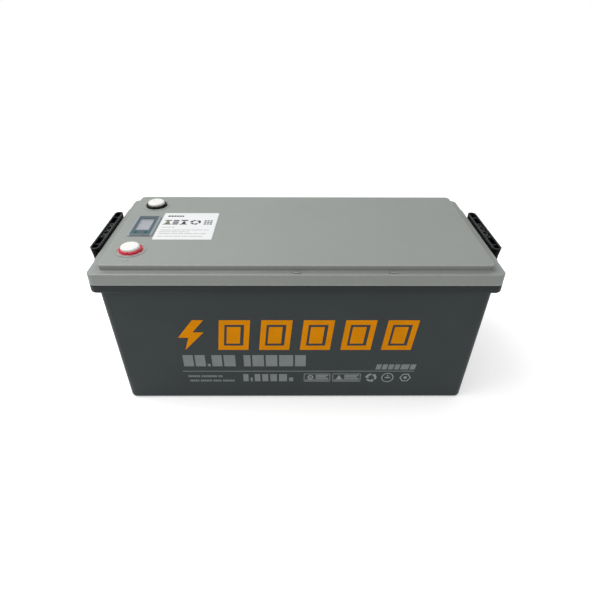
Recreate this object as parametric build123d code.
from build123d import *
import math
import os

# Deep cycle battery: a 25.6 V, 100 Ah lithium iron phosphate pack in a large moulded case.
# Millimetres. +Z is up, +X runs along the case, the terminals are at the -X end, and the
# front wall faces -Y. The origin is the centre of the case's footprint, on the surface it
# stands on.

# ---------------------------------------------------------------- driving dimensions
LENGTH = 516.2           # over the lands on the lid's two ends
WIDTH = 240.0            # over the lid's skirt
COLLAR_BOTTOM = 183.3    # underside of the tub's collar
SEAM = 195.3             # where the lid stands on the tub
LEDGE = 210.4            # top of the lid's ledge, all round the deck
DECK = 219.0             # flat top of the lid
WALL = 4.0               # moulded wall
FLOOR = 5.0              # inside floor of the tub

LAND_STAND = 1.2         # how far the lands stand out from the lid's ends
LAND_WIDTH = 162.0
LEDGE_RADIUS = 9.0       # corners of the lid's skirt, seen from above

COLLAR_TOP_X = LENGTH / 2 - LAND_STAND + 0.4
COLLAR_TOP_Y = WIDTH / 2 - 0.4
TUB_TOP_X = LENGTH / 2 - 9.7
TUB_TOP_Y = WIDTH / 2 - 4.2
TUB_FOOT_X = TUB_TOP_X - 5.5
TUB_FOOT_Y = TUB_TOP_Y - 1.5
TUB_RADIUS = 9.0
FOOT_RECESS = 1.5        # the middle of the underside stands clear of the ground
FOOT_BORDER = 16.0

DECK_X = LENGTH / 2 - 15.4
DECK_Y = WIDTH / 2 - 8.2
DECK_RADIUS = 6.0
DECK_EDGE = 0.8          # rounding of the deck's top edge
LEDGE_EDGE = 1.3         # and of the ledge's
FOOT_ROUND = 3.0         # fillet where the deck's step meets the ledge
LUG_PLACES = (0.0, 118.6)

SEAL_WIDTH = 3.0
SEAL_DEPTH = 2.0
SEAL_X = LENGTH / 2 - 7.5
SEAL_Y = WIDTH / 2 - 4.2

# terminals
TERMINAL_X = -211.8
POSITIVE_Y = -72.2
NEGATIVE_Y = 75.5
POST_RADIUS = 8.0
POST_TOP = DECK + 3.0
THREAD_RADIUS = 3.4      # wall of an M8 tapped hole
THREAD_DEPTH = 14.0
RING_RADIUS = 15.8
RING_WALL_RADIUS = 14.9
RING_HOLE = 12.0
RING_TOP = DECK + 3.3
RING_SEAT = 1.0
CAP_RADIUS = 12.4
CAP_THICK = 3.8
CAP_ROUND = 3.2          # rounding of the cap's top edge
BOSS_RADIUS = 19.0
BOSS_BOTTOM = DECK - 12.0
LUG_THICK = 2.0

# display module between the terminals
DISPLAY_X = -211.8
DISPLAY_Y = 0.8
BEZEL_LENGTH = 65.0
BEZEL_WIDTH = 34.4
BEZEL_SLOPE = 2.8
BEZEL_RADIUS = 3.4
POCKET_LENGTH = 57.0
POCKET_WIDTH = 26.0
GASKET = 0.5
BEZEL_TOP = DECK + GASKET + 1.8
WINDOW_LENGTH = 38.0
WINDOW_WIDTH = 19.6
WINDOW_SHIFT = 2.4
BUTTON_SPREAD = 13.8
BUTTON_SHIFT = -23.4
BUTTON_RADIUS = 1.8
BUTTON_TRAVEL = 0.5

# rating label on the deck
LABEL_LENGTH = 79.2
LABEL_WIDTH = 88.0
LABEL_LEFT = -192.4
LABEL_FRONT = -41.7
LABEL_THICK = 0.2

# carrying handles, one on each end
PIVOT_X = LENGTH / 2 - 1.6
PIVOT_Z = 165.0
PIN_RADIUS = 2.5
PIN_CLEARANCE = 0.05
EYE_RADIUS = 7.0
HANDLE_LENGTH = 121.0
ARM_WIDTH = 12.0
ARM_THICK = 7.6
GRIP_TOP = 215.2
GRIP_BOTTOM = 200.0
GRIP_INNER_X = LENGTH / 2 + 0.6
GRIP_TOP_WIDTH = 11.8
GRIP_BOTTOM_WIDTH = 8.8
GRIP_WALL = 1.8
CHANNEL_DEPTH = 9.5
RIB = 1.6
EAR_THICK = 4.0
EAR_GAP = 0.4

# cells and what holds them
CELLS = 8
CELL_THICK = 50.0
CELL_WIDTH = 160.0
CELL_HEIGHT = 116.0
CELL_GAP = 1.0
CELL_RADIUS = 3.0
PAD_THICK = 3.0
POLE_Y = 55.0
POLE_RADIUS = 9.0
POLE_HEIGHT = 3.0
STUD_RADIUS = 3.0
STUD_LENGTH = 7.0
BUSBAR_THICK = 2.0
BUSBAR_WIDTH = 17.0
END_PLATE = 4.0
STRAP_THICK = 0.6
STRAP_WIDTH = 16.0
STRAP_HEIGHTS = (38.0, 94.0)
COVER_WALL = 2.5
COVER_HEIGHT = 13.0

# battery management board and its case
BMS_X = 20.0
BMS_LENGTH = 170.0
BMS_WIDTH = 110.0
BMS_PLATE = 2.0
BMS_STANDOFF = 4.0
BMS_BOARD = 1.6
BMS_COVER_HEIGHT = 16.0
BMS_STUD_X = BMS_X - BMS_LENGTH / 2 + 10.0
BMS_OUT_Y = 35.0
BMS_IN_Y = 0.0
FIN_COUNT = 9

CABLE_RADIUS = 5.0
BARREL_RADIUS = 6.0
BARREL_LENGTH = 16.0
LUG_REACH = 28.0         # from a lug's hole to the end of its barrel

# ---------------------------------------------------------------- worked-out heights
CELL_BOTTOM = FLOOR + PAD_THICK
CELL_TOP = CELL_BOTTOM + CELL_HEIGHT
POLE_TOP = CELL_TOP + POLE_HEIGHT
COVER_TOP = CELL_TOP + COVER_HEIGHT
STACK = CELLS * CELL_THICK + (CELLS - 1) * CELL_GAP
PITCH = CELL_THICK + CELL_GAP
BOARD_BOTTOM = COVER_TOP + BMS_PLATE + BMS_STANDOFF
BOARD_TOP = BOARD_BOTTOM + BMS_BOARD
FLANGE_BOTTOM = BOSS_BOTTOM - 4.0       # of a terminal post

os.makedirs("parts", exist_ok=True)


# ---------------------------------------------------------------- helpers
def save(name, shape):
    export_step(shape, f"parts/{name}.step")


def block(x_size, y_size, bottom, top, radius=0.0, at=(0.0, 0.0)):
    """An upright block, its vertical edges rounded when a radius is given."""
    outline = RectangleRounded(x_size, y_size, radius) if radius else Rectangle(x_size, y_size)
    return extrude(Pos(at[0], at[1], bottom) * outline, top - bottom)


def disc(radius, bottom, top, at=(0.0, 0.0)):
    """An upright cylinder."""
    return extrude(Pos(at[0], at[1], bottom) * Circle(radius), top - bottom)


def bar_along_y(radius, x, z, start, end):
    """A cylinder along Y."""
    return Pos(x, (start + end) / 2, z) * Rot(90, 0, 0) * Cylinder(radius, abs(end - start))


def bar_along_x(radius, y, z, start, end):
    """A cylinder along X."""
    return Pos((start + end) / 2, y, z) * Rot(0, 90, 0) * Cylinder(radius, abs(end - start))


def group(shapes):
    """Several separate solids in one node."""
    return Compound(children=[piece for shape in shapes for piece in shape.solids()])


def cell_x(number):
    """Middle of a cell along the case, numbered from 0 at the terminals' end."""
    return -STACK / 2 + CELL_THICK / 2 + number * PITCH


# ---------------------------------------------------------------- tub
def handle_ears(side):
    """Two pairs of ears on an end wall, which carry a handle's pins."""
    ears = []
    half = HANDLE_LENGTH / 2
    wall_x = TUB_FOOT_X - 1.0
    for end in (-1, 1):
        for low in (half + EAR_GAP, half - ARM_WIDTH - EAR_GAP - EAR_THICK):
            profile = Polygon(
                (wall_x, PIVOT_Z - 24.0),
                (PIVOT_X + 2.0, PIVOT_Z - 6.7),
                (PIVOT_X + 2.0, PIVOT_Z + 6.7),
                (wall_x, PIVOT_Z + 12.0),
                align=None,
            )
            profile += Pos(PIVOT_X, PIVOT_Z) * Circle(EYE_RADIUS)
            middle = end * (low + EAR_THICK / 2)
            ear = extrude(Plane.XZ.offset(-middle) * profile, EAR_THICK / 2, both=True)
            ears.append(ear)
    ears = ears[0] + ears[1:]
    return ears if side > 0 else mirror(ears, about=Plane.YZ)


def make_tub():
    outer = loft(
        [
            RectangleRounded(2 * TUB_FOOT_X, 2 * TUB_FOOT_Y, TUB_RADIUS),
            Pos(0, 0, SEAM) * RectangleRounded(2 * TUB_TOP_X, 2 * TUB_TOP_Y, TUB_RADIUS),
        ],
        ruled=True,
    )
    outer = fillet(outer.edges().group_by(Axis.Z)[0], 4.5)
    collar = block(2 * COLLAR_TOP_X, 2 * COLLAR_TOP_Y, COLLAR_BOTTOM, SEAM, LEDGE_RADIUS)
    collar = fillet(collar.edges().group_by(Axis.Z)[0], 2.8)
    tub = outer + collar
    # ears are added before the inside is cut, so that none reaches through the wall
    for side in (-1, 1):
        tub += handle_ears(side)
    inside = loft(
        [
            Pos(0, 0, FLOOR)
            * RectangleRounded(2 * (TUB_FOOT_X - WALL), 2 * (TUB_FOOT_Y - WALL), TUB_RADIUS - WALL),
            Pos(0, 0, SEAM)
            * RectangleRounded(2 * (TUB_TOP_X - WALL), 2 * (TUB_TOP_Y - WALL), TUB_RADIUS - WALL),
        ],
        ruled=True,
    )
    tub -= inside
    # groove for the lid's seal
    tub -= make_seal()
    # pockets between ribs under the collar's wide ends
    pocket_length = 19.0
    pocket_pitch = 22.0
    for side in (-1, 1):
        for row in range(-4, 5):
            inner = TUB_TOP_X + 0.3
            outer_x = COLLAR_TOP_X - 3.4
            tub -= block(
                outer_x - inner,
                pocket_length,
                COLLAR_BOTTOM - 1.0,
                SEAM - SEAL_DEPTH - 2.0,
                at=(side * (inner + outer_x) / 2, row * pocket_pitch),
            )
    # underside: recessed panels inside a border and two cross bars
    panel_x = 2 * TUB_FOOT_X - 2 * FOOT_BORDER
    panel_y = 2 * TUB_FOOT_Y - 2 * FOOT_BORDER
    cross_bar = 14.0
    panel = (panel_x - 2 * cross_bar) / 3
    for column in (-1, 0, 1):
        tub -= block(panel, panel_y, 0.0, FOOT_RECESS, 6.0, at=(column * (panel + cross_bar), 0))
    for side in (-1, 1):
        for end in (-1, 1):
            low = end * (HANDLE_LENGTH / 2 - ARM_WIDTH - 6.0)
            high = end * (HANDLE_LENGTH / 2 + 6.0)
            tub -= bar_along_y(PIN_RADIUS, side * PIVOT_X, PIVOT_Z, low, high)
    return tub


def make_seal():
    outer = block(2 * SEAL_X + SEAL_WIDTH, 2 * SEAL_Y + SEAL_WIDTH, SEAM - SEAL_DEPTH, SEAM, 7.0)
    inner = block(2 * SEAL_X - SEAL_WIDTH, 2 * SEAL_Y - SEAL_WIDTH, SEAM - SEAL_DEPTH, SEAM, 4.0)
    return outer - inner


# ---------------------------------------------------------------- lid
def lid_outline():
    """The skirt seen from above: a rounded rectangle with a low land on each end."""
    ramp = 3.0
    outline = RectangleRounded(LENGTH - 2 * LAND_STAND, WIDTH, LEDGE_RADIUS)
    outline += Polygon(
        (-LENGTH / 2 + LAND_STAND, LAND_WIDTH / 2 + ramp),
        (-LENGTH / 2, LAND_WIDTH / 2),
        (-LENGTH / 2, -LAND_WIDTH / 2),
        (-LENGTH / 2 + LAND_STAND, -LAND_WIDTH / 2 - ramp),
        (LENGTH / 2 - LAND_STAND, -LAND_WIDTH / 2 - ramp),
        (LENGTH / 2, -LAND_WIDTH / 2),
        (LENGTH / 2, LAND_WIDTH / 2),
        (LENGTH / 2 - LAND_STAND, LAND_WIDTH / 2 + ramp),
        align=None,
    )
    return outline


def polarity_sign(y, positive):
    """A raised plus or minus beside a terminal."""
    long_bar = 7.0
    short_bar = 1.6
    top = DECK + 0.3
    at = (TERMINAL_X, y)
    sign = block(long_bar, short_bar, DECK - 0.5, top, at=at)
    if positive:
        sign += block(short_bar, long_bar, DECK - 0.5, top, at=at)
    return sign


def make_lid():
    skirt = extrude(Pos(0, 0, SEAM) * lid_outline(), LEDGE - SEAM)
    skirt = fillet(skirt.edges().group_by(Axis.Z)[-1], LEDGE_EDGE)
    lid = skirt + block(2 * DECK_X, 2 * DECK_Y, LEDGE - 3.0, DECK, DECK_RADIUS)
    lid = fillet(lid.edges().group_by(Axis.Z)[-1], DECK_EDGE)
    foot = [
        edge
        for edge in lid.edges()
        if abs(edge.center().Z - LEDGE) < 0.01
        and abs(edge.center().X) < DECK_X + 0.5
        and abs(edge.center().Y) < DECK_Y + 0.5
    ]
    lid = fillet(foot, FOOT_ROUND)
    # low lugs at the deck's foot, on both long sides
    for x in LUG_PLACES:
        for side in (-1, 1):
            lid += block(8.0, 6.0, LEDGE - 1.0, LEDGE + 1.4, 1.0, at=(x, side * (DECK_Y + 2.1)))
    # hollow underneath
    lid -= block(
        2 * (TUB_TOP_X - WALL), 2 * (TUB_TOP_Y - WALL), SEAM, LEDGE - WALL, TUB_RADIUS - WALL
    )
    lid -= block(
        2 * (DECK_X - WALL), 2 * (DECK_Y - WALL), LEDGE - WALL - 1.0, DECK - WALL, TUB_RADIUS - WALL
    )
    # terminal bosses, with a seat for the coloured ring and a hole for the post
    for y in (POSITIVE_Y, NEGATIVE_Y):
        at = (TERMINAL_X, y)
        lid += disc(BOSS_RADIUS, BOSS_BOTTOM, DECK - 1.0, at)
        lid += disc(RING_RADIUS + 3.4, DECK - 1.0, DECK + 0.5, at)
        lid -= disc(RING_RADIUS + 2.0, DECK, DECK + 1.0, at)
        lid -= disc(RING_RADIUS, DECK - RING_SEAT, DECK + 1.0, at)
        lid -= disc(POST_RADIUS, BOSS_BOTTOM - 1.0, DECK + 1.0, at)
    lid += polarity_sign(POSITIVE_Y - 27.0, True)
    lid += polarity_sign(NEGATIVE_Y + 26.0, False)
    # pocket for the display module
    lid -= block(
        POCKET_WIDTH, POCKET_LENGTH, DECK - WALL - 2.0, DECK + 2.0, 1.0, (DISPLAY_X, DISPLAY_Y)
    )
    return lid


# ---------------------------------------------------------------- terminals
def seal_groove(y):
    """Space that a post's O-ring fills."""
    at = (TERMINAL_X, y)
    low = BOSS_BOTTOM + 3.0
    high = low + 2.4
    return disc(POST_RADIUS, low, high, at) - disc(POST_RADIUS - 1.6, low, high, at)


def make_terminal(y):
    """Brass post: a shank with a tapped top, a flange under the lid and a stud below it."""
    at = (TERMINAL_X, y)
    post = disc(POST_RADIUS, BOSS_BOTTOM, POST_TOP, at)
    post += disc(13.0, FLANGE_BOTTOM, BOSS_BOTTOM, at)
    post += disc(4.0, FLANGE_BOTTOM - 12.0, FLANGE_BOTTOM, at)
    post -= seal_groove(y)
    post -= disc(THREAD_RADIUS, POST_TOP - THREAD_DEPTH, POST_TOP, at)
    return post


def make_terminal_seals():
    """O-rings that seal the two posts in their bosses."""
    seals = []
    for y in (POSITIVE_Y, NEGATIVE_Y):
        seals.append(seal_groove(y))
    return group(seals)


def make_ring(y):
    """Coloured ring round a terminal, with six notches in its rim."""
    at = (TERMINAL_X, y)
    wall = disc(RING_WALL_RADIUS, DECK - RING_SEAT, RING_TOP, at)
    wall = chamfer(wall.edges().group_by(Axis.Z)[-1], 0.6)
    ring = wall + disc(RING_RADIUS, DECK - RING_SEAT, DECK + 0.5, at)
    ring -= disc(RING_HOLE, DECK - RING_SEAT, RING_TOP, at)
    ring += disc(RING_HOLE, DECK - RING_SEAT, DECK - RING_SEAT + 1.0, at)
    ring -= disc(POST_RADIUS, DECK - RING_SEAT, DECK, at)
    notch = Pos(RING_WALL_RADIUS, 0, RING_TOP) * Box(3.2, 1.8, 2 * (RING_TOP - DECK - 0.5))
    for step in range(6):
        ring -= Pos(TERMINAL_X, y, 0) * Rot(0, 0, 30.0 + 60.0 * step) * notch
    return ring


def make_cap(y):
    """Lift-off cap: a domed disc over a thin skirt that drops into the ring."""
    at = (TERMINAL_X, y)
    top = RING_TOP + 0.1
    cap = disc(CAP_RADIUS, top, top + CAP_THICK, at)
    cap = fillet(cap.edges().group_by(Axis.Z)[-1], CAP_ROUND)
    cap += disc(RING_HOLE - 0.3, top - 2.2, top, at)
    cap -= disc(RING_HOLE - 1.5, top - 2.2, top + 0.6, at)
    return cap


def make_terminal_nuts():
    """Nuts on the studs under the terminal posts."""
    high = FLANGE_BOTTOM - LUG_THICK
    low = high - 6.5
    nuts = []
    for y in (POSITIVE_Y, NEGATIVE_Y):
        nut = extrude(Pos(TERMINAL_X, y, low) * RegularPolygon(7.5, 6), high - low)
        nuts.append(nut - disc(4.0, low, high, (TERMINAL_X, y)))
    return group(nuts)


# ---------------------------------------------------------------- display
def make_bezel():
    at = (DISPLAY_X, DISPLAY_Y)
    low = DECK + GASKET
    flange = block(BEZEL_WIDTH, BEZEL_LENGTH, low, BEZEL_TOP, BEZEL_RADIUS, at)
    flange = chamfer(flange.edges().group_by(Axis.Z)[-1], BEZEL_TOP - low - 0.5, BEZEL_SLOPE)
    body = block(POCKET_WIDTH - 0.4, POCKET_LENGTH - 0.4, DECK - 8.0, low, 0.8, at)
    body -= block(POCKET_WIDTH - 3.4, POCKET_LENGTH - 3.4, DECK - 8.0, low, 0.4, at)
    bezel = flange + body
    window_at = (DISPLAY_X, DISPLAY_Y + WINDOW_SHIFT)
    bezel -= block(WINDOW_WIDTH, WINDOW_LENGTH, low - 1.0, BEZEL_TOP + 1.0, 0.8, window_at)
    for side in (-1, 1):
        button_at = (DISPLAY_X + side * BUTTON_SPREAD / 2, DISPLAY_Y + BUTTON_SHIFT)
        bezel -= disc(BUTTON_RADIUS + 0.3, low - 1.0, BEZEL_TOP + 1.0, button_at)
    return bezel


def make_display_gasket():
    at = (DISPLAY_X, DISPLAY_Y)
    outer = block(BEZEL_WIDTH - 2.0, BEZEL_LENGTH - 2.0, DECK, DECK + GASKET, 2.0, at)
    return outer - block(POCKET_WIDTH, POCKET_LENGTH, DECK, DECK + GASKET, 1.0, at)


def make_lens():
    at = (DISPLAY_X, DISPLAY_Y + WINDOW_SHIFT)
    low = DECK + GASKET - 1.2
    lens = block(WINDOW_WIDTH + 3.0, WINDOW_LENGTH + 3.0, low, DECK + GASKET, 0.8, at)
    return lens + block(
        WINDOW_WIDTH, WINDOW_LENGTH, DECK + GASKET, BEZEL_TOP - 0.7, 0.8, at
    )


def make_panel():
    """Liquid crystal panel with its backlight."""
    at = (DISPLAY_X, DISPLAY_Y + WINDOW_SHIFT)
    return block(WINDOW_WIDTH + 3.0, WINDOW_LENGTH + 3.0, DECK - 4.4, DECK + GASKET - 1.2, 0.5, at)


def make_display_board():
    at = (DISPLAY_X, DISPLAY_Y)
    low = DECK - 6.0
    board = block(POCKET_WIDTH - 3.4, POCKET_LENGTH - 3.4, low, low + 1.6, 0.4, at)
    for side in (-1, 1):
        switch_at = (DISPLAY_X + side * BUTTON_SPREAD / 2, DISPLAY_Y + BUTTON_SHIFT)
        board += block(5.0, 5.0, low + 1.6, low + 1.9, at=switch_at)
    socket_at = (DISPLAY_X, DISPLAY_Y - 17.6)
    board += block(10.0, 6.0, low - 5.0, low, at=socket_at)
    return board


def make_button(side):
    at = (DISPLAY_X + side * BUTTON_SPREAD / 2, DISPLAY_Y + BUTTON_SHIFT)
    low = DECK - 6.0 + 1.9 + BUTTON_TRAVEL + 0.2
    button = disc(BUTTON_RADIUS, low, BEZEL_TOP + 0.8, at)
    button = fillet(button.edges().group_by(Axis.Z)[-1], 0.4)
    return button + disc(BUTTON_RADIUS + 0.9, low, low + 1.0, at)


def make_label():
    at = (LABEL_LEFT + LABEL_LENGTH / 2, LABEL_FRONT + LABEL_WIDTH / 2)
    return block(LABEL_LENGTH, LABEL_WIDTH, DECK, DECK + LABEL_THICK, 1.0, at)


# ---------------------------------------------------------------- handles
def make_handle(side):
    """A moulded bail: two cranked arms with eyes, and a ribbed channel grip open upwards."""
    half = HANDLE_LENGTH / 2
    grip_mid = GRIP_INNER_X + GRIP_TOP_WIDTH / 2
    low_inner = GRIP_INNER_X + 0.4
    # grip: a bar that narrows downwards, with rounded ends
    top_face = Pos(grip_mid, 0, GRIP_TOP) * RectangleRounded(GRIP_TOP_WIDTH, HANDLE_LENGTH, 5.7)
    bottom_face = Pos(low_inner + GRIP_BOTTOM_WIDTH / 2, 0, GRIP_BOTTOM) * RectangleRounded(
        GRIP_BOTTOM_WIDTH, HANDLE_LENGTH - 1.6, 4.2
    )
    grip = loft([bottom_face, top_face], ruled=True)
    grip = fillet(grip.edges().group_by(Axis.Z)[0], 2.4)
    channel_low = GRIP_TOP - CHANNEL_DEPTH
    channel = loft(
        [
            Pos(grip_mid - 0.7, 0, channel_low)
            * RectangleRounded(GRIP_TOP_WIDTH - 2 * GRIP_WALL - 2.2, HANDLE_LENGTH - 8.0, 2.0),
            Pos(grip_mid, 0, GRIP_TOP + 1.0)
            * RectangleRounded(GRIP_TOP_WIDTH - 2 * GRIP_WALL, HANDLE_LENGTH - 2 * GRIP_WALL, 3.0),
        ],
        ruled=True,
    )
    # straight ribs across the channel, and crossed ribs between the middle pair
    rib_low = channel_low - 0.5
    rib_top = GRIP_TOP - 1.6
    ribs = []
    for y in (-44.0, -22.0, 22.0, 44.0):
        ribs.append(Pos(grip_mid, y, (rib_low + rib_top) / 2) * Box(14.0, RIB, rib_top - rib_low))
    crossed = math.degrees(math.atan2(GRIP_TOP_WIDTH - 2 * GRIP_WALL, 14.0))
    for y in (-14.6, 0.0, 14.6):
        for turn in (-crossed, crossed):
            ribs.append(
                Pos(grip_mid, y, (rib_low + rib_top) / 2)
                * Rot(0, 0, turn)
                * Box(RIB, 15.0, rib_top - rib_low)
            )
    for rib in ribs:
        channel -= rib
    grip -= channel
    # arms, each a cranked plate from its eye up into the grip
    knee_x = GRIP_INNER_X + ARM_THICK / 2 + 0.5
    knee_z = 185.5
    head_x = low_inner + GRIP_BOTTOM_WIDTH / 2
    profile = make_face(
        Polyline(
            (PIVOT_X - EYE_RADIUS + 0.6, PIVOT_Z + 2.0),
            (knee_x - ARM_THICK / 2, knee_z),
            (head_x - ARM_THICK / 2, GRIP_BOTTOM + 4.0),
            (head_x + ARM_THICK / 2, GRIP_BOTTOM + 4.0),
            (knee_x + ARM_THICK / 2, knee_z),
            (PIVOT_X + EYE_RADIUS - 0.6, PIVOT_Z - 2.0),
            (PIVOT_X - EYE_RADIUS + 0.6, PIVOT_Z + 2.0),
        )
    )
    profile += Pos(PIVOT_X, PIVOT_Z) * Circle(EYE_RADIUS)
    handle = grip
    for end in (-1, 1):
        middle = end * (half - ARM_WIDTH / 2)
        arm = extrude(Plane.XZ.offset(-middle) * profile, ARM_WIDTH / 2, both=True)
        end_face = arm.faces().sort_by(Axis.Y)[-1 if end > 0 else 0]
        arm = chamfer(end_face.edges(), 1.5)
        arm -= bar_along_y(
            PIN_RADIUS + PIN_CLEARANCE, PIVOT_X, PIVOT_Z, middle - ARM_WIDTH, middle + ARM_WIDTH
        )
        handle += arm
    return handle if side > 0 else mirror(handle, about=Plane.YZ)


def make_handle_pins(side):
    """Two headed pins, one through each arm's pair of ears."""
    half = HANDLE_LENGTH / 2
    outer = half + EAR_GAP + EAR_THICK
    inner = half - ARM_WIDTH - EAR_GAP - EAR_THICK
    pins = []
    for end in (-1, 1):
        pin = bar_along_y(PIN_RADIUS, side * PIVOT_X, PIVOT_Z, end * inner, end * outer)
        pin += bar_along_y(4.2, side * PIVOT_X, PIVOT_Z, end * outer, end * (outer + 1.6))
        pin += bar_along_y(3.2, side * PIVOT_X, PIVOT_Z, end * (inner - 1.0), end * inner)
        pins.append(pin)
    return group(pins)


# ---------------------------------------------------------------- cells
def make_cell(number):
    """Prismatic cell: a wrapped can with two welded poles and a vent between them."""
    x = cell_x(number)
    cell = block(CELL_THICK, CELL_WIDTH, CELL_BOTTOM, CELL_TOP, CELL_RADIUS, (x, 0))
    cell -= extrude(Pos(x, 0, CELL_TOP - 0.6) * SlotOverall(24.0, 12.0, rotation=90), 0.6)
    for y in (-POLE_Y, POLE_Y):
        cell += disc(POLE_RADIUS, CELL_TOP, POLE_TOP, (x, y))
        cell += disc(STUD_RADIUS, POLE_TOP, POLE_TOP + STUD_LENGTH, (x, y))
    return cell


def make_busbar(number):
    """Plated link from one cell to the next, on alternate sides."""
    y = -POLE_Y if number % 2 == 0 else POLE_Y
    x = (cell_x(number) + cell_x(number + 1)) / 2
    bar = block(PITCH + BUSBAR_WIDTH, BUSBAR_WIDTH, POLE_TOP, POLE_TOP + BUSBAR_THICK, 4.0, (x, y))
    for pole in (number, number + 1):
        bar -= disc(STUD_RADIUS + 0.3, POLE_TOP, POLE_TOP + BUSBAR_THICK, (cell_x(pole), y))
    return bar


def make_pole_nuts():
    nuts = []
    for number in range(CELLS):
        for y in (-POLE_Y, POLE_Y):
            low = POLE_TOP + BUSBAR_THICK
            at = (cell_x(number), y)
            nut = extrude(Pos(at[0], at[1], low) * RegularPolygon(5.8, 6), 4.0)
            nut += disc(6.6, low, low + 1.0, at)
            nuts.append(nut - disc(STUD_RADIUS, low, low + 4.0, at))
    return group(nuts)


def make_spacers():
    sheets = []
    for number in range(CELLS - 1):
        x = cell_x(number) + PITCH / 2
        sheets.append(
            block(CELL_GAP, CELL_WIDTH - 6.0, CELL_BOTTOM, CELL_TOP - 3.0, at=(x, 0))
        )
    return group(sheets)


def make_end_plate(side):
    x = side * (STACK / 2 + END_PLATE / 2)
    plate = block(END_PLATE, CELL_WIDTH, CELL_BOTTOM, CELL_TOP - 4.0, at=(x, 0))
    # shallow pressed ribs on the outer face
    for z in (26.0, 66.0, 106.0):
        plate -= Pos(side * (STACK / 2 + END_PLATE), 0, z) * Box(2.0, CELL_WIDTH - 24.0, 12.0)
    return plate


def make_straps():
    """Two steel bands round the cells and their end plates."""
    length = STACK + 2 * END_PLATE
    straps = []
    for height in STRAP_HEIGHTS:
        low = height - STRAP_WIDTH / 2
        high = height + STRAP_WIDTH / 2
        outer = block(length + 2 * STRAP_THICK, CELL_WIDTH + 2 * STRAP_THICK, low, high, 0.5)
        straps.append(outer - block(length, CELL_WIDTH, low, high))
    return group(straps)


def make_side_pad(side):
    low_y = CELL_WIDTH / 2 + 1.0
    high_y = TUB_FOOT_Y - WALL - 0.4
    at = (0.0, side * (low_y + high_y) / 2)
    return block(STACK - 20.0, high_y - low_y, FLOOR, CELL_TOP - 10.0, 3.0, at)


def make_end_pad(side):
    low_x = STACK / 2 + END_PLATE + 1.0
    high_x = TUB_FOOT_X - WALL - 0.4
    at = (side * (low_x + high_x) / 2, 0.0)
    return block(high_x - low_x, CELL_WIDTH + 30.0, FLOOR, CELL_TOP - 20.0, 3.0, at)


def make_base_pad():
    return block(STACK + 2 * END_PLATE, CELL_WIDTH, FLOOR, FLOOR + PAD_THICK)


def make_cell_cover():
    """Insulating tray over the busbars, cut open at the two end poles and for the ribbon."""
    cover = block(STACK, CELL_WIDTH, CELL_TOP, COVER_TOP, 3.0)
    cover -= block(
        STACK - 2 * COVER_WALL, CELL_WIDTH - 2 * COVER_WALL, CELL_TOP, COVER_TOP - COVER_WALL, 1.5
    )
    first = cell_x(0)
    last = cell_x(CELLS - 1)
    cover -= block(42.0, 82.0, COVER_TOP - 4.0, COVER_TOP, 3.0, (first + 5.0, 29.0))
    cover -= block(36.0, 28.0, COVER_TOP - 4.0, COVER_TOP, 3.0, (last + 5.0, POLE_Y))
    cover -= block(3.0, 16.0, COVER_TOP - 4.0, COVER_TOP, at=(BMS_X + BMS_LENGTH / 2 + 5.0, 28.0))
    return cover


def make_sense_flex():
    """Flat flexible circuit on the cells: a spine, a tab to each link and a tail to the board."""
    spine_y = 28.0
    thick = 0.5
    flex = block(STACK - 40.0, 10.0, CELL_TOP, CELL_TOP + thick, at=(0, spine_y))
    for number in range(CELLS - 1):
        x = cell_x(number) + PITCH / 2
        if number % 2 == 0:
            flex += block(5.0, 74.0, CELL_TOP, CELL_TOP + thick, at=(x, spine_y - 36.0))
        else:
            flex += block(5.0, 18.0, CELL_TOP, CELL_TOP + thick, at=(x, spine_y + 10.0))
    tail_x = BMS_X + BMS_LENGTH / 2 + 5.0
    flex += block(thick, 10.0, CELL_TOP, BOARD_TOP + 2.0, at=(tail_x, spine_y))
    flex += block(5.0 + thick, 10.0, BOARD_TOP + 1.5, BOARD_TOP + 2.0, at=(tail_x - 2.5, spine_y))
    return flex


# ---------------------------------------------------------------- battery management unit
def bms_corners():
    """The four screw places, inside the cover."""
    return [
        (BMS_X + x, y)
        for x in (-BMS_LENGTH / 2 + 32.0, BMS_LENGTH / 2 - 8.0)
        for y in (-BMS_WIDTH / 2 + 8.0, BMS_WIDTH / 2 - 8.0)
    ]


def make_bms_base():
    base = block(BMS_LENGTH, BMS_WIDTH, COVER_TOP, COVER_TOP + BMS_PLATE, 4.0, (BMS_X, 0))
    for at in bms_corners():
        base += disc(4.0, COVER_TOP, BOARD_BOTTOM, at)
        base -= disc(1.5, COVER_TOP, BOARD_BOTTOM, at)
    return base


def make_bms_board():
    board = block(BMS_LENGTH, BMS_WIDTH, BOARD_BOTTOM, BOARD_TOP, 3.0, (BMS_X, 0))
    for y in (BMS_OUT_Y, BMS_IN_Y):
        board += disc(STUD_RADIUS, BOARD_TOP, BOARD_TOP + 8.0, (BMS_STUD_X, y))
    # switching transistors in two rows, a shunt, a control chip and two sockets
    for row_y in (-24.0, 18.0):
        for step in range(8):
            x = BMS_X - 34.0 + step * 13.0
            board += block(9.0, 10.0, BOARD_TOP, BOARD_TOP + 4.0, at=(x, row_y))
    board += block(30.0, 8.0, BOARD_TOP, BOARD_TOP + 3.0, at=(BMS_X - 20.0, -2.0))
    board += block(14.0, 14.0, BOARD_TOP, BOARD_TOP + 1.6, at=(BMS_X + 24.0, -3.0))
    right = BMS_X + BMS_LENGTH / 2
    board += block(6.0, 14.0, BOARD_TOP, BOARD_TOP + 1.5, at=(right - 3.0, 28.0))
    left = BMS_X - BMS_LENGTH / 2
    board += block(8.0, 12.0, BOARD_TOP, BOARD_TOP + 6.0, at=(left + 4.0, -40.0))
    for at in bms_corners():
        board -= disc(1.6, BOARD_BOTTOM, BOARD_TOP, at)
    return board


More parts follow.
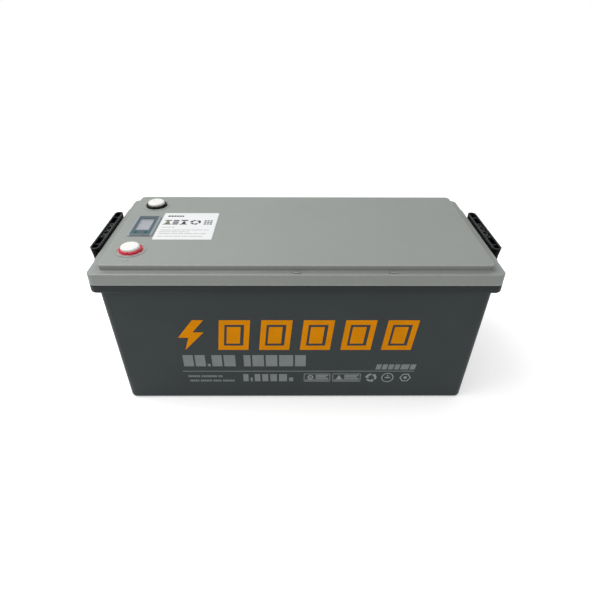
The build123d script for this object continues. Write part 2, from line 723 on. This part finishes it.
def make_bms_cover():
    """Finned aluminium cover over the board's electronics."""
    left = BMS_X - BMS_LENGTH / 2 + 24.0
    right = BMS_X + BMS_LENGTH / 2 - 1.0
    at = ((left + right) / 2, 0.0)
    top = BOARD_TOP + BMS_COVER_HEIGHT
    cover = block(right - left, BMS_WIDTH, BOARD_TOP, top, 3.0, at)
    cover -= block(right - left - 4.0, BMS_WIDTH - 4.0, BOARD_TOP, BOARD_TOP + 7.0, 1.5, at)
    fin_pitch = (BMS_WIDTH - 10.0) / (FIN_COUNT - 1)
    for gap in range(FIN_COUNT - 1):
        y = -(BMS_WIDTH - 10.0) / 2 + fin_pitch * (gap + 0.5)
        cover -= block(right - left, fin_pitch - 2.4, top - 6.0, top, at=(at[0], y))
    for corner in bms_corners():
        cover += disc(4.0, BOARD_TOP, BOARD_TOP + 7.0, corner)
        cover -= disc(1.6, BOARD_TOP, top, corner)
        cover -= disc(3.6, top - 6.0, top, corner)
    # slot in the end wall for the flexible circuit's tail
    cover -= block(6.0, 16.0, BOARD_TOP, BOARD_TOP + 3.0, at=(right, 28.0))
    return cover


def make_bms_screws():
    screws = []
    seat = BOARD_TOP + BMS_COVER_HEIGHT - 6.0
    for at in bms_corners():
        screw = disc(1.5, COVER_TOP, seat, at) + disc(2.9, seat, seat + 2.4, at)
        screws.append(screw - Pos(at[0], at[1], seat + 2.0) * Box(0.8, 3.6, 0.8))
    return group(screws)


# ---------------------------------------------------------------- cables inside
def flat_lug(hole):
    """Cable lug lying flat, its barrel along +X, its underside at Z = 0."""
    lug = block(25.0, 15.0, 0.0, LUG_THICK, 3.0, (3.5, 0.0))
    lug += bar_along_x(BARREL_RADIUS, 0.0, BARREL_RADIUS, LUG_REACH - BARREL_LENGTH, LUG_REACH)
    return lug - disc(hole, 0.0, LUG_THICK, (0.0, 0.0))


def upright_lug(hole):
    """Cable lug with its barrel standing up, 14 mm beyond the hole along +X."""
    lug = block(30.0, 15.0, 0.0, LUG_THICK, 3.0, (6.0, 0.0))
    lug += disc(BARREL_RADIUS, LUG_THICK, LUG_THICK + BARREL_LENGTH, (14.0, 0.0))
    return lug - disc(hole, 0.0, LUG_THICK, (0.0, 0.0))


def make_lugs():
    under_post = FLANGE_BOTTOM - LUG_THICK
    lugs = []
    for y in (POSITIVE_Y, NEGATIVE_Y):
        lugs.append(Pos(TERMINAL_X, y, FLANGE_BOTTOM) * Rot(180, 0, 0) * flat_lug(4.3))
    for y in (BMS_OUT_Y, BMS_IN_Y):
        lugs.append(Pos(BMS_STUD_X, y, BOARD_TOP) * Rot(0, 0, 180) * flat_lug(STUD_RADIUS + 0.3))
    first = Pos(cell_x(0), POLE_Y, POLE_TOP) * Rot(0, 0, -90)
    lugs.append(first * flat_lug(STUD_RADIUS + 0.3))
    last = Pos(cell_x(CELLS - 1), POLE_Y, POLE_TOP)
    lugs.append(last * upright_lug(STUD_RADIUS + 0.3))
    return group(lugs)


def cable(points, radii, radius=CABLE_RADIUS):
    """A round cable along straight runs joined by arcs."""
    path = FilletPolyline(*points, radius=radii)
    start = Plane(origin=path @ 0, z_dir=path % 0)
    tube = sweep(start * Circle(radius), path=path)
    ideal = math.pi * radius**2 * path.length
    print(f"cable: length {path.length:.0f}, volume ratio {tube.volume / ideal:.4f}, radii {radii}")
    return tube


def make_positive_cable():
    start_x = cell_x(CELLS - 1) + 14.0
    start_z = POLE_TOP + LUG_THICK + BARREL_LENGTH
    run_z = COVER_TOP + CABLE_RADIUS + 0.5
    end_z = FLANGE_BOTTOM - BARREL_RADIUS
    end_x = TERMINAL_X + LUG_REACH
    points = [
        (start_x, POLE_Y, start_z),
        (start_x, POLE_Y, start_z + 30.0),
        (start_x, -20.0, start_z + 30.0),
        (start_x - 20.0, -68.0, run_z),
        (-125.0, -70.0, run_z),
        (-155.0, POSITIVE_Y, end_z),
        (end_x, POSITIVE_Y, end_z),
    ]
    return cable(points, [20.0, 24.0, 22.0, 20.0, 20.0])


def make_negative_cable():
    end_z = FLANGE_BOTTOM - BARREL_RADIUS
    low_z = BOARD_TOP + BARREL_RADIUS
    left = BMS_STUD_X - LUG_REACH
    points = [
        (TERMINAL_X + LUG_REACH, NEGATIVE_Y, end_z),
        (-156.0, NEGATIVE_Y, end_z),
        (-112.0, BMS_OUT_Y, low_z),
        (left, BMS_OUT_Y, low_z),
    ]
    return cable(points, [22.0, 22.0])


def make_cell_cable():
    low_z = POLE_TOP + BARREL_RADIUS
    high_z = BOARD_TOP + BARREL_RADIUS
    left = BMS_STUD_X - LUG_REACH
    points = [
        (cell_x(0), POLE_Y - LUG_REACH, low_z),
        (cell_x(0), BMS_IN_Y, low_z),
        (cell_x(0) + 36.0, BMS_IN_Y, high_z),
        (left, BMS_IN_Y, high_z),
    ]
    return cable(points, [14.0, 30.0])


def make_display_cable():
    top_z = DECK - 11.0
    socket_y = DISPLAY_Y - 17.6
    low_z = BOARD_TOP + 3.0
    left = BMS_X - BMS_LENGTH / 2
    points = [
        (DISPLAY_X, socket_y, top_z),
        (DISPLAY_X, socket_y, 180.0),
        (-120.0, -40.0, low_z),
        (left, -40.0, low_z),
    ]
    return cable(points, [22.0, 40.0], 2.0)


# ---------------------------------------------------------------- write every piece
save("tub", make_tub())
save("lid_seal", make_seal())
save("lid", make_lid())

for polarity, terminal_y in (("positive", POSITIVE_Y), ("negative", NEGATIVE_Y)):
    save(f"{polarity}_terminal_post", make_terminal(terminal_y))
    save(f"{polarity}_terminal_ring", make_ring(terminal_y))
    save(f"{polarity}_terminal_cap", make_cap(terminal_y))

save("terminal_seals", make_terminal_seals())
save("terminal_nuts", make_terminal_nuts())

save("display_bezel", make_bezel())
save("display_gasket", make_display_gasket())
save("display_lens", make_lens())
save("display_panel", make_panel())
save("display_board", make_display_board())
save("display_button_left", make_button(-1))
save("display_button_right", make_button(1))
save("display_cable", make_display_cable())
save("top_label", make_label())

for end_name, end_side in (("left", -1), ("right", 1)):
    save(f"{end_name}_handle", make_handle(end_side))
    save(f"{end_name}_handle_pins", make_handle_pins(end_side))
    save(f"{end_name}_end_plate", make_end_plate(end_side))
    save(f"{end_name}_end_pad", make_end_pad(end_side))

for pad_name, pad_side in (("front", -1), ("rear", 1)):
    save(f"{pad_name}_side_pad", make_side_pad(pad_side))

for index in range(CELLS):
    save(f"cell_{index + 1}", make_cell(index))
for index in range(CELLS - 1):
    save(f"busbar_{index + 1}", make_busbar(index))

save("busbar_nuts", make_pole_nuts())
save("cell_spacers", make_spacers())
save("cell_straps", make_straps())
save("base_pad", make_base_pad())
save("cell_cover", make_cell_cover())
save("sense_flex", make_sense_flex())

save("bms_base", make_bms_base())
save("bms_board", make_bms_board())
save("bms_cover", make_bms_cover())
save("bms_screws", make_bms_screws())

save("cable_lugs", make_lugs())
save("positive_cable", make_positive_cable())
save("negative_cable", make_negative_cable())
save("cell_cable", make_cell_cable())
